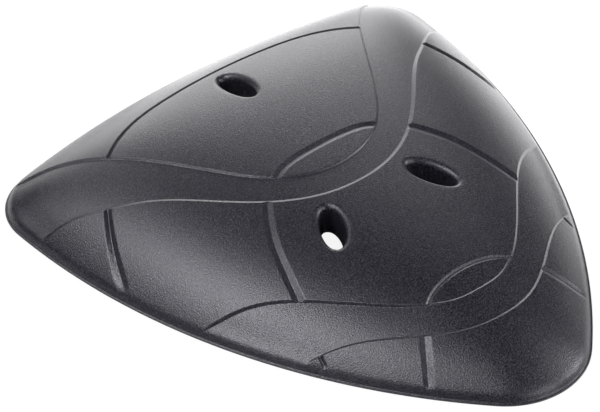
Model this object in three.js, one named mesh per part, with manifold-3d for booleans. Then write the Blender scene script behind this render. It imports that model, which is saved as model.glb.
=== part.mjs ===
// Tailbone protector: one moulded foam guard, worn at the base of the spine.
// A shallow dome on a flat rim. Two wide bands and a set of narrow channels split its outer
// face into raised plates, three oval vents go straight through, and the underside is hollow.
// Millimetres, +Z up. The origin lies on the rim plane under the middle of the outline,
// +Y points to the waist edge and -Y to the rounded tail.
import * as THREE from 'three';
import { mergeVertices } from 'three/addons/utils/BufferGeometryUtils.js';
import Module from 'manifold-3d';

// Outline from above: tangent arcs for the waist, the sides, the corners and the tail.
const LENGTH = 169;
const SIDE_SPAN = 151.6; // between the widest points of the two side arcs
const WAIST_RADIUS = 280;
const SIDE_RADIUS = 200;
const CORNER_RADIUS = 18;
const TAIL_RADIUS = 24.5;

// Dome: the outer skin leaves the rim edge steeply and rounds off into the crown.
const RIM_EDGE = 1.0;
const CROWN = 23; // height that the dome tends to, far from the rim
const CROWN_RISE = 0.04; // extra height for each millimetre towards the waist
const FLANK = 22; // run over which the flank rounds off

// Underside: a flat land that the pad lies on, then a shallow hollow.
const LAND = 7;
const HOLLOW = 12; // height that the hollow tends to
const HOLLOW_RUN = 22;

// Relief: the plates stand this far over the bands and channels, and fade out at the rim.
const PLATE_STEP = 0.6;
const FADE_RUN = 5;
const RELIEF_INSET = 1.5; // rim strip that the bands and channels leave whole
const CORE_INSET = 0.75; // foot of the core that the relief doesn't reach
const CORE_FOOT = -10;

// Vents: upright oval holes. turn is the lean of the long axis from +Y, towards the waist's middle.
const VENT_LENGTH = 16.8;
const VENT_WIDTH = 9.2;
const VENTS = [
  { x: 0, y: 55, turn: 0 },
  { x: 18, y: -9.1, turn: 27 },
  { x: -18, y: -9.1, turn: -27 },
];

// Bands run from rim to rim. Each edge is a smooth line through its right-hand points,
// from the middle outwards, and is mirrored to the left.
const BANDS = [
  {
    waistEdge: [
      [0, 8.6], [10, 10.5], [18, 15.4], [28, 27.7],
      [39.8, 47.1], [45.7, 56.1], [55, 67.1], [68, 76.7],
    ],
    tailEdge: [
      [0, 0.6], [10, 1.9], [24.5, 9.4], [40, 24.9],
      [50, 35.1], [57.5, 41], [65, 47], [79, 52.7],
    ],
  },
  {
    waistEdge: [
      [0, -50.6], [8, -49.7], [15.2, -45.9], [25.5, -36.8],
      [39.7, -21.3], [49.5, -12.6], [64, -5.3],
    ],
    tailEdge: [[0, -60.3], [8, -59.3], [20.3, -52.9], [32.5, -43.2], [43.5, -36.2], [54, -32.3]],
  },
];

// Channels: centre lines of one half, from the middle or the band outwards.
// A channel that crosses the middle is one line, and any other has a mirrored twin.
const CHANNELS = [
  { halfWidth: 0.9, crosses: true, line: [[0, 68.1], [16, 67.2], [32, 63.8], [40, 60], [46, 56.1]] },
  { halfWidth: 0.9, crosses: true, line: [[0, 18.1], [11, 17.6], [16.2, 16.4], [18.6, 14.7]] },
  { halfWidth: 0.8, crosses: true, line: [[0, -42.1], [8, -42.9], [12.5, -44.4], [15.6, -46.3]] },
  { halfWidth: 1.2, crosses: false, line: [[25, 10.7], [29.8, 4.1], [33.2, -1.9], [36.2, -9.7], [40, -22]] },
  { halfWidth: 1.1, crosses: false, line: [[57.2, 41.7], [61.4, 35.1], [64.4, 29.3], [68.2, 20.1]] },
  { halfWidth: 1.2, crosses: false, line: [[20.8, -52.1], [27.8, -62.3]] },
  { halfWidth: 0.6, crosses: false, line: [[44.4, -35.5], [45.1, -38.7]] },
];

// Facet sizes
const RIM_SEGMENTS = 96;
const CURVE_STEP = 4.5;
const VENT_SEGMENTS = 28;
const DISTANCE_SAMPLES = 1200;
const ABOVE = 40; // clear of the crown
const BELOW = -5; // clear of the rim plane

// Rings of points on a skin, from the rim to the middle: first at fixed insets, then the
// last of these shrunk in steps towards a pole.
const POLE_Y = 15;
const INSETS = [1, 2.5, 4.5, 7, 10, 14];
const SHRINKS = [
  { scale: 0.86, count: RIM_SEGMENTS / 2 },
  { scale: 0.7, count: RIM_SEGMENTS / 2 },
  { scale: 0.54, count: RIM_SEGMENTS / 2 },
  { scale: 0.38, count: RIM_SEGMENTS / 2 },
  { scale: 0.22, count: RIM_SEGMENTS / 4 },
];

// Centres of the outline's arcs, right half
const sideX = SIDE_SPAN / 2 - SIDE_RADIUS;
const tailY = TAIL_RADIUS - LENGTH / 2;
const sideY = tailY + Math.sqrt((SIDE_RADIUS - TAIL_RADIUS) ** 2 - sideX ** 2);
const waistY = LENGTH / 2 - WAIST_RADIUS;
const corner = cornerCentre();

// The corner arc touches the waist arc and the side arc from inside.
function cornerCentre() {
  const waist = new THREE.Vector2(0, waistY);
  const toSide = new THREE.Vector2(sideX, sideY).sub(waist);
  const gap = toSide.length();
  const reachWaist = WAIST_RADIUS - CORNER_RADIUS;
  const reachSide = SIDE_RADIUS - CORNER_RADIUS;
  const along = (gap ** 2 + reachWaist ** 2 - reachSide ** 2) / (2 * gap);
  const across = Math.sqrt(reachWaist ** 2 - along ** 2);
  const ahead = toSide.normalize();
  const right = new THREE.Vector2(ahead.y, -ahead.x);
  return waist.addScaledVector(ahead, along).addScaledVector(right, across);
}

// Closed outline, moved inwards by inset, anticlockwise from the tip of the tail.
function outlinePath(inset) {
  const tailTurn = Math.atan2(tailY - sideY, -sideX);
  const sideTurn = Math.atan2(corner.y - sideY, corner.x - sideX);
  const cornerTurn = Math.atan2(corner.y - waistY, corner.x);
  const path = new THREE.Path();
  path.absarc(0, tailY, TAIL_RADIUS - inset, -Math.PI / 2, tailTurn);
  path.absarc(sideX, sideY, SIDE_RADIUS - inset, tailTurn, sideTurn);
  path.absarc(corner.x, corner.y, CORNER_RADIUS - inset, sideTurn, cornerTurn);
  path.absarc(0, waistY, WAIST_RADIUS - inset, cornerTurn, Math.PI - cornerTurn);
  path.absarc(-corner.x, corner.y, CORNER_RADIUS - inset, Math.PI - cornerTurn, Math.PI - sideTurn);
  path.absarc(-sideX, sideY, SIDE_RADIUS - inset, Math.PI - sideTurn, Math.PI - tailTurn);
  path.absarc(0, tailY, TAIL_RADIUS - inset, Math.PI - tailTurn, Math.PI * 1.5);
  return path;
}

function outlineLoop(inset, count) {
  return outlinePath(inset).getSpacedPoints(count).slice(0, count);
}

// Soft distance to the rim. Close to the rim it is the plain distance, and further in it
// has no creases, because every stretch of the rim counts by the inverse fourth power.
const rimSamples = outlineLoop(0, DISTANCE_SAMPLES);
function rimDistance(x, y) {
  let pull = 0;
  for (let i = 0; i < rimSamples.length; i += 1) {
    const here = rimSamples[i];
    const next = rimSamples[(i + 1) % rimSamples.length];
    const toX = (here.x + next.x) / 2 - x;
    const toY = (here.y + next.y) / 2 - y;
    const facing = toX * (next.y - here.y) - toY * (next.x - here.x);
    pull += facing / (toX ** 2 + toY ** 2) ** 2;
  }
  return Math.sqrt(Math.PI / 2 / pull);
}

function domeHeight(x, y) {
  const full = CROWN + CROWN_RISE * y;
  return RIM_EDGE + full * (1 - Math.exp(-rimDistance(x, y) / FLANK));
}

function hollowHeight(x, y) {
  const inside = Math.max(0, rimDistance(x, y) - LAND);
  return HOLLOW * (1 - Math.exp(-inside / HOLLOW_RUN));
}

// Level of the bands and channel floors
function floorHeight(x, y) {
  const fade = THREE.MathUtils.smoothstep(rimDistance(x, y), 0, FADE_RUN);
  return domeHeight(x, y) - PLATE_STEP * fade;
}

function skinRings(firstInset, height) {
  const raise = (point) => new THREE.Vector3(point.x, point.y, height(point.x, point.y));
  const insets = INSETS.filter((inset) => inset > firstInset);
  const outer = insets.map((inset) => outlineLoop(inset, RIM_SEGMENTS).map(raise));
  const shrunk = SHRINKS.map(({ scale, count }) => {
    const loop = outlineLoop(insets.at(-1), count);
    return loop.map((p) => raise(new THREE.Vector2(p.x * scale, POLE_Y + (p.y - POLE_Y) * scale)));
  });
  return [...outer, ...shrunk, [raise(new THREE.Vector2(0, POLE_Y))]];
}

function flatRing(inset, z) {
  return outlineLoop(inset, RIM_SEGMENTS).map((p) => new THREE.Vector3(p.x, p.y, z));
}

// Closed surface over rings that run from a top pole, round the rim, to a bottom pole.
// Rings may have different counts, and a pole is a ring of one point.
function loftRings(rings) {
  const positions = rings.flat().flatMap((p) => [p.x, p.y, p.z]);
  const index = [];
  let start = 0;
  for (let k = 0; k + 1 < rings.length; k += 1) {
    const here = rings[k].length;
    const next = rings[k + 1].length;
    const hereSteps = here > 1 ? here : 0;
    const nextSteps = next > 1 ? next : 0;
    let i = 0;
    let j = 0;
    while (i < hereSteps || j < nextSteps) {
      const inner = start + (i % here);
      const outer = start + here + (j % next);
      const stepHere = j >= nextSteps || (i < hereSteps && (i + 1) * next <= (j + 1) * here);
      if (stepHere) {
        i += 1;
        index.push(inner, outer, start + (i % here));
      } else {
        j += 1;
        index.push(inner, outer, start + here + (j % next));
      }
    }
    start += here;
  }
  const geometry = new THREE.BufferGeometry();
  geometry.setAttribute('position', new THREE.Float32BufferAttribute(positions, 3));
  geometry.setIndex(index);
  return geometry;
}

const wasm = await Module();
wasm.setup();

function toSolid(geometry) {
  geometry.deleteAttribute('normal');
  geometry.deleteAttribute('uv');
  const merged = mergeVertices(geometry);
  return new wasm.Manifold(new wasm.Mesh({
    numProp: 3,
    vertProperties: merged.attributes.position.array,
    triVerts: Uint32Array.from(merged.index.array),
  }));
}

function toGeometry(solid) {
  const mesh = solid.getMesh();
  const geometry = new THREE.BufferGeometry();
  geometry.setAttribute('position', new THREE.BufferAttribute(mesh.vertProperties, 3));
  geometry.setIndex(new THREE.BufferAttribute(mesh.triVerts, 1));
  geometry.computeVertexNormals();
  return geometry;
}

// Upright prism over a plan outline, from below the rim to above the crown
function prism(points) {
  const settings = { depth: ABOVE - BELOW, bevelEnabled: false };
  const geometry = new THREE.ExtrudeGeometry(new THREE.Shape(points), settings);
  return toSolid(geometry.translate(0, 0, BELOW));
}

// Smooth plan line through table points, mirrored across the middle where asked
function planLine(points, crosses) {
  const half = points.map(([x, y]) => new THREE.Vector2(x, y));
  const mirrored = half.slice(1).reverse().map((p) => new THREE.Vector2(-p.x, p.y));
  const curve = new THREE.SplineCurve(crosses ? [...mirrored, ...half] : half);
  const steps = Math.max(2, Math.round(curve.getLength() / CURVE_STEP / 2) * 2);
  return { curve, steps };
}

function bandPrism(band) {
  const waist = planLine(band.waistEdge, true);
  const tail = planLine(band.tailEdge, true);
  const waistPoints = waist.curve.getSpacedPoints(waist.steps);
  const tailPoints = tail.curve.getSpacedPoints(tail.steps);
  return prism([...tailPoints, ...waistPoints.reverse()]);
}

function channelPrism(channel, side) {
  const { curve, steps } = planLine(channel.line, channel.crosses);
  const left = [];
  const right = [];
  for (let i = 0; i <= steps; i += 1) {
    const point = curve.getPointAt(i / steps);
    const ahead = curve.getTangentAt(i / steps);
    const out = new THREE.Vector2(-ahead.y, ahead.x).multiplyScalar(channel.halfWidth);
    left.push(new THREE.Vector2(side * (point.x + out.x), point.y + out.y));
    right.push(new THREE.Vector2(side * (point.x - out.x), point.y - out.y));
  }
  const loop = [...right, ...left.reverse()];
  return prism(side > 0 ? loop : loop.reverse());
}

function ventPrism({ x, y, turn }) {
  const lean = THREE.MathUtils.degToRad(turn);
  const shape = new THREE.Path();
  shape.absellipse(x, y, VENT_WIDTH / 2, VENT_LENGTH / 2, 0, Math.PI * 2, false, lean);
  return prism(shape.getSpacedPoints(VENT_SEGMENTS).slice(0, VENT_SEGMENTS));
}

// Solid foam blank: dome on top, upright rim edge, flat land and hollow below
function foamBlank() {
  const dome = skinRings(0, domeHeight).reverse();
  const hollow = skinRings(LAND, hollowHeight);
  const rim = [flatRing(0, RIM_EDGE), flatRing(0, 0), flatRing(LAND, 0)];
  return toSolid(loftRings([...dome, ...rim, ...hollow]));
}

// What the mould presses out of the dome between the plates
function reliefCut() {
  const tools = BANDS.map(bandPrism);
  for (const channel of CHANNELS) {
    tools.push(channelPrism(channel, 1));
    if (!channel.crosses) {
      tools.push(channelPrism(channel, -1));
    }
  }
  const pressed = tools.reduce((sum, tool) => sum.add(tool));
  const floor = skinRings(0, floorHeight).reverse();
  const foot = [flatRing(CORE_INSET, CORE_FOOT), [new THREE.Vector3(0, POLE_Y, CORE_FOOT)]];
  const core = toSolid(loftRings([...floor, ...foot]));
  return pressed.intersect(prism(outlineLoop(RELIEF_INSET, RIM_SEGMENTS))).subtract(core);
}

const vents = VENTS.map(ventPrism).reduce((sum, vent) => sum.add(vent));
const guardSolid = foamBlank().subtract(reliefCut()).subtract(vents);

const skin = new THREE.MeshStandardMaterial({ color: 0x2b2a2e, roughness: 0.55, metalness: 0 });
const guard = new THREE.Mesh(toGeometry(guardSolid), skin);
guard.name = 'guard';

const protector = new THREE.Group();
protector.add(guard);
export default protector;
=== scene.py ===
import math
from functools import partial

import bmesh
import bpy
import numpy as np
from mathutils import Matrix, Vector
from mathutils.geometry import intersect_sphere_sphere_2d


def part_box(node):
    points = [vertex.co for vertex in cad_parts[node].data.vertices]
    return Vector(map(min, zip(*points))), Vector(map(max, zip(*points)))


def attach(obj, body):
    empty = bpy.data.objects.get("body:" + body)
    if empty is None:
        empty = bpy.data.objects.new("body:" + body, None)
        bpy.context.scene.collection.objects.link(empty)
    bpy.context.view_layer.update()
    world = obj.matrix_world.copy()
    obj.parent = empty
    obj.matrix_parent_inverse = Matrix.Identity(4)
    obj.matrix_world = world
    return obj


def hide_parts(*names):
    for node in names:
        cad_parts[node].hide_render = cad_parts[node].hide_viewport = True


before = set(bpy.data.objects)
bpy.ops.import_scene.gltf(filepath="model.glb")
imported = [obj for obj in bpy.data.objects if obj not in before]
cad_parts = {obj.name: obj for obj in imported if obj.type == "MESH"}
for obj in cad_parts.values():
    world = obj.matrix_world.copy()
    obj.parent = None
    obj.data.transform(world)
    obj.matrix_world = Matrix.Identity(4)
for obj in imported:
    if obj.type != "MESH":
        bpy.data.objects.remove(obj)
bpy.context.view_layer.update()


# Camera
# A long lens, as for a small product: it looks at the pad from its left, tail-end side,
# from well above the table.
MM = 0.001  # the guard's sizes are in millimetres, the scene is in metres
LENS = 220.0
SENSOR = 36.0
CAMERA_AZIMUTH = math.radians(320.64)  # anticlockwise from the tail end
CAMERA_ELEVATION = math.radians(41.27)
CAMERA_DISTANCE = 1055.3 * MM
CAMERA_TARGET = Vector((0, 26.86, -8.97)) * MM

camera_back = Vector((
    math.sin(CAMERA_AZIMUTH) * math.cos(CAMERA_ELEVATION),
    -math.cos(CAMERA_AZIMUTH) * math.cos(CAMERA_ELEVATION),
    math.sin(CAMERA_ELEVATION),
))
camera_data = bpy.data.cameras.new("camera")
camera_data.lens = LENS
camera_data.sensor_width = SENSOR
camera = bpy.data.objects.new("camera", camera_data)
camera.location = CAMERA_TARGET + camera_back * CAMERA_DISTANCE
camera.rotation_euler = camera_back.to_track_quat("Z", "Y").to_euler()
bpy.context.scene.collection.objects.link(camera)
bpy.context.scene.camera = camera
bpy.context.scene.view_settings.view_transform = "Standard"


# Floor
# A plain white table top, which the camera sees nearly as bright in the pad's shadow as
# around it. A patch of it to the right of the pad and behind it glows and lights those edges.
FLOOR_SIZE = 8.0
FLOOR_DROP = 0.1 * MM  # keeps the table clear of the rim that lies on it
FLOOR_WHITE = (0.9, 0.9, 0.9, 1)
WASHED_OUT = 0.9  # share of the table's own shade that the camera doesn't see
GLOW = 1.7
GLOW_AZIMUTH = math.radians(70)  # where the patch lies, clockwise from the waist edge
GLOW_START = 20 * MM  # the glow rises from here on, that way
GLOW_FULL = 50 * MM
GLOW_FADE = 140 * MM  # and fades from here on, all round
GLOW_END = 300 * MM

floor_mesh = bpy.data.meshes.new("floor")
floor_build = bmesh.new()
bmesh.ops.create_grid(floor_build, x_segments=1, y_segments=1, size=FLOOR_SIZE / 2)
bmesh.ops.translate(floor_build, vec=(0, 0, -FLOOR_DROP), verts=floor_build.verts)
floor_build.to_mesh(floor_mesh)
floor_build.free()
floor = bpy.data.objects.new("floor", floor_mesh)
bpy.context.scene.collection.objects.link(floor)
floor_paint = bpy.data.materials.new("floor_white")
floor_paint.use_nodes = True
floor_nodes = floor_paint.node_tree.nodes
floor_links = floor_paint.node_tree.links
floor_nodes.remove(floor_nodes["Principled BSDF"])
floor_lit = floor_nodes.new("ShaderNodeBsdfDiffuse")
floor_lit.inputs["Color"].default_value = FLOOR_WHITE
floor_bright = floor_nodes.new("ShaderNodeEmission")
floor_ray = floor_nodes.new("ShaderNodeLightPath")
floor_share = floor_nodes.new("ShaderNodeMath")
floor_share.operation = "MULTIPLY"
floor_share.inputs[1].default_value = WASHED_OUT
floor_place = floor_nodes.new("ShaderNodeTexCoord")
floor_back = floor_nodes.new("ShaderNodeVectorMath")
floor_back.operation = "DOT_PRODUCT"
floor_back.inputs[1].default_value = (math.sin(GLOW_AZIMUTH), math.cos(GLOW_AZIMUTH), 0)
floor_rise = floor_nodes.new("ShaderNodeMapRange")
floor_rise.inputs["From Min"].default_value = GLOW_START
floor_rise.inputs["From Max"].default_value = GLOW_FULL
floor_rise.inputs["To Max"].default_value = GLOW
floor_away = floor_nodes.new("ShaderNodeVectorMath")
floor_away.operation = "LENGTH"
floor_fade = floor_nodes.new("ShaderNodeMapRange")
floor_fade.inputs["From Min"].default_value = GLOW_FADE
floor_fade.inputs["From Max"].default_value = GLOW_END
floor_fade.inputs["To Min"].default_value = 1
floor_fade.inputs["To Max"].default_value = 0
floor_spot = floor_nodes.new("ShaderNodeMath")
floor_spot.operation = "MULTIPLY"
floor_glow = floor_nodes.new("ShaderNodeEmission")
floor_both = floor_nodes.new("ShaderNodeAddShader")
floor_mix = floor_nodes.new("ShaderNodeMixShader")
floor_links.new(floor_place.outputs["Object"], floor_back.inputs[0])
floor_links.new(floor_back.outputs["Value"], floor_rise.inputs["Value"])
floor_links.new(floor_place.outputs["Object"], floor_away.inputs[0])
floor_links.new(floor_away.outputs["Value"], floor_fade.inputs["Value"])
floor_links.new(floor_rise.outputs["Result"], floor_spot.inputs[0])
floor_links.new(floor_fade.outputs["Result"], floor_spot.inputs[1])
floor_links.new(floor_spot.outputs["Value"], floor_glow.inputs["Strength"])
floor_links.new(floor_lit.outputs["BSDF"], floor_both.inputs[0])
floor_links.new(floor_glow.outputs["Emission"], floor_both.inputs[1])
floor_links.new(floor_ray.outputs["Is Camera Ray"], floor_share.inputs[0])
floor_links.new(floor_share.outputs["Value"], floor_mix.inputs["Fac"])
floor_links.new(floor_both.outputs["Shader"], floor_mix.inputs[1])
floor_links.new(floor_bright.outputs["Emission"], floor_mix.inputs[2])
floor_links.new(floor_mix.outputs["Shader"], floor_nodes["Material Output"].inputs["Surface"])
floor_mesh.materials.append(floor_paint)


# Studio light
# Round soft boxes and dimmer panels about the pad. The key box hangs high on the left, panels
# stand behind the waist edge, and a low box on the right and one at the tail light those sides.
ROOM_LIGHT = 0.04
BOX_DISTANCE = 1.6
SOFT_BOXES = [  # in degrees: azimuth clockwise from the waist edge, spread from middle to edge
    {"name": "key_box", "azimuth": 288, "elevation": 60, "spread": 11, "brightness": 12.8},
    {"name": "key_panel", "azimuth": 288, "elevation": 44, "spread": 9, "brightness": 1.6},
    {"name": "left_box", "azimuth": 252, "elevation": 60, "spread": 10, "brightness": 7.5},
    {"name": "top_box", "azimuth": 324, "elevation": 60, "spread": 10, "brightness": 4.7},
    {"name": "high_panel", "azimuth": 322, "elevation": 40, "spread": 13, "brightness": 2.2},
    {"name": "waist_panel", "azimuth": 0, "elevation": 40, "spread": 14, "brightness": 1.4},
    {"name": "side_panel", "azimuth": 14, "elevation": 12, "spread": 12, "brightness": 2.0},
    {"name": "back_panel", "azimuth": 37, "elevation": 20, "spread": 12, "brightness": 4.0},
    {"name": "upper_panel", "azimuth": 48, "elevation": 32, "spread": 12, "brightness": 1.1},
    {"name": "low_panel", "azimuth": 35, "elevation": 2, "spread": 18, "brightness": 2.4},
    {"name": "wide_panel", "azimuth": 68, "elevation": 2, "spread": 14, "brightness": 0.8},
    {"name": "right_box", "azimuth": 118, "elevation": 20, "spread": 12, "brightness": 10.0},
    {"name": "right_panel", "azimuth": 118, "elevation": 46, "spread": 16, "brightness": 1.6},
    {"name": "tail_box", "azimuth": 164, "elevation": 28, "spread": 18, "brightness": 3.9},
    {"name": "front_panel", "azimuth": 258, "elevation": 28, "spread": 18, "brightness": 0.8},
]

world = bpy.data.worlds.new("room")
world.use_nodes = True
world.node_tree.nodes["Background"].inputs["Color"].default_value = (1, 1, 1, 1)
world.node_tree.nodes["Background"].inputs["Strength"].default_value = ROOM_LIGHT
bpy.context.scene.world = world
for box in SOFT_BOXES:
    turn = math.radians(box["azimuth"])
    rise = math.radians(box["elevation"])
    towards = Vector((math.sin(turn) * math.cos(rise), math.cos(turn) * math.cos(rise), math.sin(rise)))
    radius = BOX_DISTANCE * math.tan(math.radians(box["spread"]))
    box_data = bpy.data.lights.new(box["name"], "AREA")
    box_data.shape = "DISK"
    box_data.size = radius * 2
    box_data.energy = box["brightness"] * math.pi * math.pi * radius**2
    box_light = bpy.data.objects.new(box["name"], box_data)
    box_light.location = towards * BOX_DISTANCE
    box_light.rotation_euler = towards.to_track_quat("Z", "Y").to_euler()
    box_light.visible_camera = False
    bpy.context.scene.collection.objects.link(box_light)


# Outline of the guard
# The guard is one piece of moulded foam, cut off by the mould along a rounded triangle:
# a long waist arc, two side arcs and a small tail arc, joined by two corner arcs.
guard_low, guard_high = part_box("guard")
LENGTH = (guard_high.y - guard_low.y) / MM
SIDE_SPAN = 151.6
WAIST_RADIUS = 280
SIDE_RADIUS = 200
CORNER_RADIUS = 18
TAIL_RADIUS = 24.5
RIM_SAMPLES = 1200
PLAIN_INSET = 2.0  # closer to the rim than this, the soft distance is the plain one
CHUNK = 2000  # points whose soft distance is worked out at once
TINY = 1e-9  # keeps a division clear of zero

tail_centre = Vector((0, TAIL_RADIUS - LENGTH / 2))
waist_centre = Vector((0, LENGTH / 2 - WAIST_RADIUS))
side_x = SIDE_SPAN / 2 - SIDE_RADIUS
side_rise = math.sqrt((SIDE_RADIUS - TAIL_RADIUS) ** 2 - side_x**2)
side_centre = Vector((side_x, tail_centre.y + side_rise))
corner_choices = intersect_sphere_sphere_2d(
    waist_centre, WAIST_RADIUS - CORNER_RADIUS, side_centre, SIDE_RADIUS - CORNER_RADIUS
)
corner_centre = max(corner_choices, key=lambda point: point.x)


def heading(start, end):
    """Direction in plan from one point to another, in radians."""
    return math.atan2(end.y - start.y, end.x - start.x)


tail_turn = heading(side_centre, tail_centre)
side_turn = heading(side_centre, corner_centre)
corner_turn = heading(waist_centre, corner_centre)
ARCS = [  # the right half, from the tail to the waist
    (tail_centre, TAIL_RADIUS, -math.pi / 2, tail_turn),
    (side_centre, SIDE_RADIUS, tail_turn, side_turn),
    (corner_centre, CORNER_RADIUS, side_turn, corner_turn),
    (waist_centre, WAIST_RADIUS, corner_turn, math.pi / 2),
]


def rim_inset(x, y):
    """Distance inwards from the outline, exact close to the rim."""
    inset = np.full(x.shape, LENGTH)
    for centre, radius, start, end in ARCS:
        east = np.abs(x) - centre.x
        north = y - centre.y
        turn = np.arctan2(north, east)
        faces_arc = (turn >= start) & (turn <= end)
        inset = np.where(faces_arc, np.minimum(inset, radius - np.hypot(east, north)), inset)
    return inset


def outline_points():
    """Points all round the outline, anticlockwise."""
    spans = [radius * (end - start) for _, radius, start, end in ARCS]
    right = []
    for (centre, radius, start, end), span in zip(ARCS, spans):
        count = round(RIM_SAMPLES / 2 * span / sum(spans))
        turn = start + (end - start) * np.arange(count) / count
        right.append(np.stack([centre.x + radius * np.cos(turn), centre.y + radius * np.sin(turn)], 1))
    right = np.concatenate(right)
    left = right[:0:-1] * (-1, 1)
    return np.concatenate([right, [[0, LENGTH / 2]], left])


rim_points = outline_points()
rim_steps = np.roll(rim_points, -1, 0) - rim_points
rim_middles = rim_points + rim_steps / 2


def rim_distance(x, y):
    """Soft distance to the rim: plain close to it, and without creases further in."""
    soft = np.empty(x.shape)
    for part in np.array_split(np.arange(len(x)), len(x) // CHUNK + 1):
        to_x = rim_middles[:, 0] - x[part, None]
        to_y = rim_middles[:, 1] - y[part, None]
        facing = to_x * rim_steps[:, 1] - to_y * rim_steps[:, 0]
        pull = (facing / (to_x**2 + to_y**2) ** 2).sum(1)
        soft[part] = np.sqrt(math.pi / 2 / np.maximum(pull, TINY))
    plain = rim_inset(x, y)
    share = np.clip(plain / PLAIN_INSET - 1, 0, 1)
    return np.where(plain < 2 * PLAIN_INSET, plain + (soft - plain) * share, soft)


# Bands and channels
# Two wide bands run across the pad from rim to rim and narrow channels split what is left
# into plates. The mould presses them in. A plate drops steeply on its tail side and rises
# on a ramp on its waist side, and a channel is a groove between two such walls.
DROP_RUN = 0.5  # width in plan of the steep wall
EASE = 0.15  # share of a wall's width over which each of its ends is rounded
BAND_WIDTH = 9  # width in plan over which a shallow drop is made up for
MIDDLE_RUN = 18  # distance from the middle where a shallow drop is nearly at its full depth
LENS_SUNK = 0.26  # how much lower the plate of the lower lens lies at the band
LENS_RAMP = 0.55  # width in plan of the ramp between that plate and the band
LINE_STEPS = 14  # straight pieces between two points of a line
BANDS = [  # step is the depth, ramp its width in plan, shallow what the drop lacks in the middle
    {
        "step": 0.5, "ramp": 0.95, "shallow": 0,
        "waist_edge": [
            (0, 8.6), (10, 10.5), (18.1, 15.2), (28.3, 27.3),
            (40.4, 46.7), (46.4, 55.6), (55.6, 66.4), (68.4, 76.2),
        ],
        "tail_edge": [
            (0, 0), (10.2, 1.3), (24.9, 8.9), (40.4, 24.5),
            (50.4, 34.6), (57.9, 40.5), (65.3, 46.5), (79, 52.7),
        ],
    },
    {
        "step": 0.55, "ramp": 0.72, "shallow": 0.95,
        "waist_edge": [
            (0, -50.6), (8, -49.7), (15.2, -45.9), (25.5, -36.8),
            (39.7, -21.3), (49.5, -12.6), (64, -5.3),
        ],
        "tail_edge": [(0, -60.3), (8, -59.3), (20.3, -52.9), (32.5, -43.2), (43.5, -36.2), (54, -32.3)],
    },
]
CHANNELS = [  # left and right are the walls' widths, the left one's at the line's start and end
    {
        "name": "waist strip", "left": (0.5, 0.5), "right": 0.9, "depth": 0.55, "crosses": True,
        "line": [(0, 68.1), (16, 67.2), (32, 63.8), (40, 60), (46, 56.1), (49, 54)],
    },
    {
        "name": "upper lens", "left": (1.1, 1.1), "right": 1.5, "depth": 0.55, "crosses": True,
        "line": [(0, 18.1), (11, 17.6), (16.2, 16.2), (21, 12.4)],
    },
    {
        "name": "lower lens", "left": (0.6, 0.6), "right": 1.0, "depth": 0.5, "crosses": True,
        "line": [(0, -42.1), (8, -42.9), (12.5, -44.4), (15.6, -46.3), (18, -48.2)],
    },
    {
        "name": "seat side", "left": (1.3, 1.5), "right": 1.6, "depth": 0.6, "crosses": False,
        "line": [(22.8, 13.7), (29.8, 4.1), (33.2, -1.9), (36.2, -9.7), (40, -22), (41, -25.5)],
    },
    {
        "name": "outer side", "left": (0.9, 2.2), "right": 1.1, "depth": 0.65, "crosses": False,
        "line": [(55.2, 44.8), (61.4, 35.1), (64.4, 29.3), (68.2, 20.1)],
    },
    {
        "name": "tail side", "left": (1.2, 1.3), "right": 1.75, "depth": 0.52, "crosses": False,
        "line": [(19, -48.4), (28.3, -61.9)],
    },
    {
        "name": "nick", "left": (0.7, 0.7), "right": 0.7, "depth": 0.6, "crosses": False,
        "line": [(43.8, -32.8), (45.1, -38.7)],
    },
]


def smooth_line(points, crosses):
    """Line bent like a thin strip through the points, mirrored if it crosses the middle."""
    knots = np.array(points, float)
    if crosses:
        knots = np.concatenate([knots[:0:-1] * (-1, 1), knots])
    steps = np.diff(knots, axis=0)
    spans = np.hypot(steps[:, 0], steps[:, 1])
    slopes = steps / spans[:, None]
    balance = np.eye(len(knots))
    turns = np.zeros(knots.shape)
    for i in range(1, len(spans)):
        balance[i, i - 1:i + 2] = spans[i - 1], 2 * (spans[i - 1] + spans[i]), spans[i]
        turns[i] = 6 * (slopes[i] - slopes[i - 1])
    bends = np.linalg.solve(balance, turns)
    share = (np.arange(LINE_STEPS) / LINE_STEPS)[:, None]
    rest = 1 - share
    line = []
    for i, span in enumerate(spans):
        bow = (rest**3 - rest) * bends[i] + (share**3 - share) * bends[i + 1]
        line.append(rest * knots[i] + share * knots[i + 1] + bow * span**2 / 6)
    return np.concatenate([*line, knots[-1:]])


waist_edges = [smooth_line(band["waist_edge"], True) for band in BANDS]
tail_edges = [smooth_line(band["tail_edge"], True) for band in BANDS]
channel_lines = [smooth_line(channel["line"], channel["crosses"]) for channel in CHANNELS]
lens_line = next(line for line, row in zip(channel_lines, CHANNELS) if row["name"] == "lower lens")


def line_reach(x, y, line):
    """Distance from points to a line, and the side they lie on: 1 is its left, -1 its right."""
    gap = np.full(x.shape, LENGTH)
    side = np.ones(x.shape)
    for (start_x, start_y), (step_x, step_y) in zip(line, np.diff(line, axis=0)):
        step = math.hypot(step_x, step_y)
        along = np.clip(((x - start_x) * step_x + (y - start_y) * step_y) / step**2, 0, 1)
        off_x = x - start_x - along * step_x
        off_y = y - start_y - along * step_y
        here = np.hypot(off_x, off_y)
        turned = (step_x * off_y - step_y * off_x) / step / np.maximum(here, TINY)
        side = np.where(here < gap, turned, side)
        gap = np.minimum(gap, here)
    return gap, side


def line_offset(x, y, line):
    """Distance from points to a line, positive on its left and negative on its right."""
    gap, side = line_reach(x, y, line)
    return gap * np.sign(side)


def drop_offset(line, x, y):
    """How far points are past the top of the drop along a band's waist edge."""
    return DROP_RUN / 2 - line_offset(x, y, line)


def ramp_share(line, run, x, y):
    """How far points are down the ramp along a band's tail edge: 0 at its top, 1 at its foot."""
    return 0.5 + line_offset(x, y, line) / run


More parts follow.
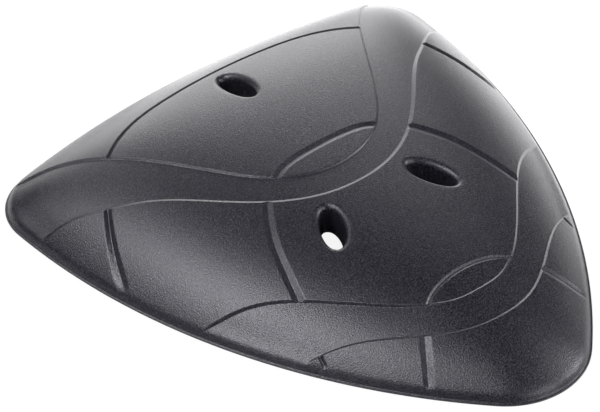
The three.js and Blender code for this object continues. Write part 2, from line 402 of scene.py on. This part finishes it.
def groove_share(line, channel, x, y):
    """How far points are down the wall of a channel: 0 at its shoulder, 1 at its bottom."""
    gap, side = line_reach(x, y, line)
    along = np.clip(np.hypot(x - line[0, 0], y - line[0, 1]) / math.dist(line[0], line[-1]), 0, 1)
    start, end = channel["left"]
    left = start + (end - start) * along
    right = channel["right"]
    return 1 - gap / ((left + right) / 2 + (left - right) / 2 * side)


def eased(share):
    """A wall's height over its width, from 0 to 1 and rounded at both ends."""
    share = np.clip(share, -EASE, 1 + EASE)
    start = (share + EASE) ** 2 / (4 * EASE)
    end = 1 - (1 + EASE - share) ** 2 / (4 * EASE)
    return np.where(share < EASE, start, np.where(share > 1 - EASE, end, share))


def lens_depth(x, y):
    """How deep the plate of the lower lens lies: it tilts, and ends on a ramp up to the band."""
    from_line = np.maximum(-line_offset(x, y, lens_line), 0)
    from_band = np.maximum(line_offset(x, y, waist_edges[1]), 0)
    tilt = from_line / np.maximum(from_line + from_band, TINY)
    return LENS_SUNK * tilt * eased(from_band / LENS_RAMP - EASE)


def press_depth(x, y):
    """How deep the press goes at points: nothing on a plate, and a channel ends at a band."""
    in_band = np.zeros(x.shape)
    bands = np.zeros(x.shape)
    for band, waist_edge, tail_edge in zip(BANDS, waist_edges, tail_edges):
        past_drop = drop_offset(waist_edge, x, y)
        ramp = eased(ramp_share(tail_edge, band["ramp"], x, y))
        share = np.minimum(eased(past_drop / DROP_RUN), ramp)
        lack = band["shallow"] * np.exp(-((x / MIDDLE_RUN) ** 4))
        lack *= np.clip(1 - past_drop / BAND_WIDTH, 0, 1)
        in_band = np.maximum(in_band, share)
        bands = np.maximum(bands, band["step"] * share * (1 - lack))
    depth = np.maximum(bands, lens_depth(x, y))
    for line, channel in zip(channel_lines, CHANNELS):
        groove = eased(groove_share(line, channel, x, y))
        depth = np.maximum(depth, groove * (channel["depth"] * (1 - in_band) + bands * in_band))
    return depth


# Vents
# Three upright oval holes let sweat out. The foam skin rolls over their edges, and the
# bore narrows a little towards the underside.
VENT_LENGTH = 14.6
VENT_WIDTH = 6.6
VENT_LIP = 1.9  # radius of the rolled edge
VENT_TAPER = 0.3  # how much closer the wall stands at the underside
LIP_STEPS = 8
VENT_SAMPLES = 72
VENTS = [(0, 55, 0), (18, -9.1, 27)]  # x, y and lean in degrees, right half

round_turn = np.linspace(0, 2 * math.pi, VENT_SAMPLES + 1)
vent_lines = []
for vent_x, vent_y, lean in VENTS:
    across = -VENT_WIDTH / 2 * np.sin(round_turn)
    along = VENT_LENGTH / 2 * np.cos(round_turn)
    cos_lean = math.cos(math.radians(lean))
    sin_lean = math.sin(math.radians(lean))
    vent_lines.append(np.stack([
        vent_x + across * cos_lean - along * sin_lean,
        vent_y + across * sin_lean + along * cos_lean,
    ], 1))


def vent_gap(x, y):
    """Distance outwards from the nearest vent's bore, negative in it."""
    gap = np.full(x.shape, LENGTH)
    for line in vent_lines:
        gap = np.minimum(gap, -line_offset(x, y, line))
    return gap


# Foam blank
# The right half starts as one flat sheet, cut along the rim, the vents and the pressed
# lines. The sheet is doubled to a top and an underside with a wall round every edge.
GRID = 1.2
TOUCH = 0.02  # a point this close to a cut is already on it
EDGE_MERGE = 0.3  # points closer together than this along an edge become one
RIM_BREAK = 0.62  # inset where the dome's skin turns over into the rim's edge
RIM_WALL = 2 * RIM_BREAK  # walls with less inset than this are the rim's, the others the vents'
RIM_CUTS = (4.2, 3.0, 2.2, 1.6, 1.2, 0.9)  # insets of the rows of faces along the rim
PLAIN_RIM = 1.1  # strip along the rim that has no pressed lines
WALL_CUTS = (-2 * EASE, -EASE, 0, EASE, 1 - EASE, 1, 1 + EASE, 1 + 2 * EASE)
GROOVE_CUTS = (-2 * EASE, -EASE, 0, EASE, 1 - EASE)
RIM_RINGS = [  # the profile of the rim's edge, from the table up
    {"inset": 0.2, "height": 0.0},
    {"inset": 0.05, "height": 0.05},
    {"inset": 0.0, "height": 0.15},
    {"inset": 0.0, "height": 0.42},
    {"inset": 0.04, "height": 0.52},
    {"inset": 0.14, "height": 0.58},
    {"inset": 0.42, "height": 0.62},
    {"inset": 0.53, "height": 0.69},
]


def plan_points(verts):
    """The x and the y of vertices."""
    return np.array([vert.co.xy for vert in verts]).reshape(-1, 2).T


def cut_along(sheet, faces, field, level):
    """Cuts faces of the flat sheet along the line where a field has this level."""
    edges = list(dict.fromkeys(edge for face in faces for edge in face.edges))
    verts = list(dict.fromkeys(vert for edge in edges for vert in edge.verts))
    over = dict(zip(verts, field(*plan_points(verts)) - level))
    on_line = [vert for vert in verts if abs(over[vert]) <= TOUCH]
    for edge in edges:
        first, second = (over[vert] for vert in edge.verts)
        if first * second < 0 and min(abs(first), abs(second)) > TOUCH:
            _, crossing = bmesh.utils.edge_split(edge, edge.verts[0], first / (first - second))
            on_line.append(crossing)
    bmesh.ops.connect_verts(sheet, verts=on_line)
    return set(on_line)


def cut_away(sheet, field, level):
    """Cuts the flat sheet along a level of a field and drops what lies under it."""
    on_line = cut_along(sheet, sheet.faces[:], field, level)
    verts = [vert for vert in sheet.verts if vert not in on_line]
    under = field(*plan_points(verts)) < level
    dropped = [vert for vert, drop in zip(verts, under) if drop]
    bmesh.ops.delete(sheet, geom=dropped, context="VERTS")


def top_faces(sheet):
    """Faces on the top of the doubled sheet, which lies at 1 while its underside lies at 0."""
    return [face for face in sheet.faces if all(vert.co.z > 1 - TOUCH for vert in face.verts)]


blank = bmesh.new()
half_width = guard_high.x / MM + GRID
bmesh.ops.create_grid(
    blank, x_segments=round(half_width / GRID), y_segments=round((LENGTH + GRID) / GRID), size=0.5
)
bmesh.ops.scale(blank, vec=(half_width, LENGTH + GRID, 1), verts=blank.verts)
bmesh.ops.translate(blank, vec=(half_width / 2, 0, 0), verts=blank.verts)
cut_away(blank, rim_inset, RIM_BREAK)
cut_away(blank, vent_gap, VENT_LIP)
for inset in RIM_CUTS:
    cut_along(blank, blank.faces[:], rim_inset, inset)
edge_verts = [vert for vert in blank.verts if vert.is_boundary and vert.co.x > TOUCH]
bmesh.ops.remove_doubles(blank, verts=edge_verts, dist=EDGE_MERGE)

doubled = bmesh.ops.extrude_face_region(
    blank, geom=blank.verts[:] + blank.edges[:] + blank.faces[:], use_keep_orig=True
)
top_verts = [item for item in doubled["geom"] if isinstance(item, bmesh.types.BMVert)]
bmesh.ops.translate(blank, vec=(0, 0, 1), verts=top_verts)
seam_walls = [face for face in blank.faces if all(vert.co.x < TOUCH for vert in face.verts)]
bmesh.ops.delete(blank, geom=seam_walls, context="FACES")

uprights = [edge for edge in blank.edges if abs(edge.verts[0].co.z - edge.verts[1].co.z) > TOUCH]
at_rim = rim_inset(*plan_points([edge.verts[0] for edge in uprights])) < RIM_WALL
rim_uprights = [edge for edge, rim in zip(uprights, at_rim) if rim]
vent_uprights = [edge for edge, rim in zip(uprights, at_rim) if not rim]
bmesh.ops.subdivide_edges(blank, edges=rim_uprights, cuts=len(RIM_RINGS), use_grid_fill=True)
bmesh.ops.subdivide_edges(blank, edges=vent_uprights, cuts=2 * LIP_STEPS, use_grid_fill=True)

press_cuts = []
for line in waist_edges:
    press_cuts += [(partial(drop_offset, line), share * DROP_RUN) for share in WALL_CUTS]
for line, band in zip(tail_edges, BANDS):
    press_cuts += [(partial(ramp_share, line, band["ramp"]), share) for share in WALL_CUTS]
for line, channel in zip(channel_lines, CHANNELS):
    press_cuts.append((partial(line_offset, line=line), 0))
    press_cuts += [(partial(groove_share, line, channel), share) for share in GROOVE_CUTS]
lens_side = partial(line_offset, line=waist_edges[1])
press_cuts += [(lens_side, (share + EASE) * LENS_RAMP) for share in WALL_CUTS]
for field, level in press_cuts:
    faces = top_faces(blank)
    centres = np.array([face.calc_center_median().xy for face in faces]).T
    near = (rim_inset(*centres) > PLAIN_RIM) & (np.abs(field(*centres) - level) < 2 * GRID)
    cut_along(blank, [face for face, is_near in zip(faces, near) if is_near], field, level)
bmesh.ops.triangulate(blank, faces=top_faces(blank), quad_method="BEAUTY", ngon_method="BEAUTY")


# Dome and hollow
# The press gives the flat blank its form: the top domes up from the rim, the underside
# is hollow inside a flat land, and the walls of the rim and the vents get their profile.
RIM_EDGE = 1.0  # height of the dome's curve at the outline
CROWN = 23  # rise that the curve tends to, at the middle of the length
CROWN_RISE = 0.04  # gain of that rise for each millimetre towards the waist
FLANK = 22  # the larger, the gentler the flank
RIM_DROP = 1.66  # how much the skin turns down more steeply just over the rim
RIM_DROP_RUN = 2.0
FADE_RUN = 5  # distance from the rim over which the pressed lines fade in
LAND = 7
LAND_ROUND = 1.0  # softness of the turn from the land into the hollow
HOLLOW = 12  # depth that the hollow's curve tends to
HOLLOW_RUN = 22
PROBE = 0.05  # step for measuring a slope


def top_height(x, y):
    """Height of the outer skin over the table."""
    distance = rim_distance(x, y)
    full = CROWN + CROWN_RISE * y
    dome = RIM_EDGE + full * (1 - np.exp(-distance / FLANK))
    turned_down = RIM_DROP * np.clip(1 - distance / RIM_DROP_RUN, 0, 1) ** 2
    steep = np.hypot(1, full / FLANK * np.exp(-distance / FLANK))
    fade = np.clip(distance / FADE_RUN, 0, 1)
    fade = fade**2 * (3 - 2 * fade)
    return dome - turned_down - steep * fade * press_depth(x, y)


def hollow_height(x, y):
    """Height of the underside over the table."""
    inside = rim_distance(x, y) - LAND
    rounded = LAND_ROUND * np.logaddexp(0, inside / LAND_ROUND)
    bare = np.clip((inside + LAND) / LAND, 0, 1)
    return HOLLOW * (1 - np.exp(-rounded / HOLLOW_RUN)) * bare


def slope_of(field, x, y):
    """Direction in plan in which a field grows."""
    east = field(x + PROBE, y) - field(x - PROBE, y)
    north = field(x, y + PROBE) - field(x, y - PROBE)
    size = np.hypot(east, north)
    return east / size, north / size


verts = blank.verts[:]
x, y, layer = np.array([vert.co for vert in verts]).T
height = np.zeros(x.shape)
on_top = layer > 1 - TOUCH
under = layer < TOUCH
height[on_top] = top_height(x[on_top], y[on_top])
height[under] = hollow_height(x[under], y[under])

walls = ~on_top & ~under
in_rim = walls & (rim_inset(x, y) < RIM_WALL)
ring = np.rint(layer[in_rim] * (len(RIM_RINGS) + 1)).astype(int) - 1
east, north = slope_of(rim_inset, x[in_rim], y[in_rim])
shift = np.array([row["inset"] for row in RIM_RINGS])[ring] - rim_inset(x[in_rim], y[in_rim])
x[in_rim] += east * shift
y[in_rim] += north * shift
height[in_rim] = np.array([row["height"] for row in RIM_RINGS])[ring]

in_vent = walls & ~in_rim
ring = np.rint(layer[in_vent] * (2 * LIP_STEPS + 1)).astype(int)
from_top = ring > LIP_STEPS
roll = np.where(from_top, 2 * LIP_STEPS + 1 - ring, ring) / LIP_STEPS * math.pi / 2
drop = VENT_LIP * (1 - np.cos(roll))
height[in_vent] = np.where(
    from_top,
    top_height(x[in_vent], y[in_vent]) - drop,
    hollow_height(x[in_vent], y[in_vent]) + drop,
)
east, north = slope_of(vent_gap, x[in_vent], y[in_vent])
shift = VENT_LIP * (1 - np.sin(roll)) - vent_gap(x[in_vent], y[in_vent])
shift -= np.where(from_top, 0, VENT_TAPER * np.sin(roll))
x[in_vent] += east * shift
y[in_vent] += north * shift

for vert, place in zip(verts, np.stack([x, y, height], 1)):
    vert.co = place
half = blank.verts[:] + blank.edges[:] + blank.faces[:]
bmesh.ops.mirror(blank, geom=half, merge_dist=TOUCH / 2, axis="X")
bmesh.ops.scale(blank, vec=(MM, MM, MM), verts=blank.verts)
bmesh.ops.recalc_face_normals(blank, faces=blank.faces)

guard_mesh = bpy.data.meshes.new("foam_guard")
blank.to_mesh(guard_mesh)
blank.free()
guard_mesh.shade_smooth()
guard = bpy.data.objects.new("foam_guard", guard_mesh)
bpy.context.scene.collection.objects.link(guard)


# Foam skin
# The closed skin that the hot mould leaves on dark foam: charcoal with a violet cast,
# satin, with a fine grain whose colour follows its bumps: painted shade in the pits, a painted glint on
# the tops.
SKIN_TINT = (0.95, 0.94, 1, 1)
SKIN_ROUGHNESS = 0.3
GRAIN_SCALE = 2700
GRAIN_DETAIL = 2
GRAIN_DEPTH = 0.09 * MM
GRAIN_SHADE_AND_GLINT = [  # place on the grain's height, from 0 to 1, and colour there: painted shade low, painted glint high
    (0.42, (0.0015, 0.0013, 0.0045, 1)),
    (0.75, (0.044, 0.043, 0.053, 1)),
]

foam = bpy.data.materials.new("foam_skin")
foam.use_nodes = True
foam_nodes = foam.node_tree.nodes
foam_links = foam.node_tree.links
skin = foam_nodes["Principled BSDF"]
skin.inputs["Specular Tint"].default_value = SKIN_TINT
skin.inputs["Roughness"].default_value = SKIN_ROUGHNESS
skin_place = foam_nodes.new("ShaderNodeTexCoord")
grain = foam_nodes.new("ShaderNodeTexNoise")
grain.inputs["Scale"].default_value = GRAIN_SCALE
grain.inputs["Detail"].default_value = GRAIN_DETAIL
foam_links.new(skin_place.outputs["Object"], grain.inputs["Vector"])
# the grain's height sets its colour: painted shade darkens the pits and a painted glint lightens the
# tops
grain_shade_and_glint = foam_nodes.new("ShaderNodeValToRGB")
for stop, (position, colour) in zip(grain_shade_and_glint.color_ramp.elements, GRAIN_SHADE_AND_GLINT):
    stop.position = position
    stop.color = colour
foam_links.new(grain.outputs["Fac"], grain_shade_and_glint.inputs["Fac"])
foam_links.new(grain_shade_and_glint.outputs["Color"], skin.inputs["Base Color"])
bump = foam_nodes.new("ShaderNodeBump")
bump.inputs["Strength"].default_value = 1
bump.inputs["Distance"].default_value = GRAIN_DEPTH
foam_links.new(grain.outputs["Fac"], bump.inputs["Height"])
foam_links.new(bump.outputs["Normal"], skin.inputs["Normal"])
guard_mesh.materials.append(foam)

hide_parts("guard")
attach(guard, "root")
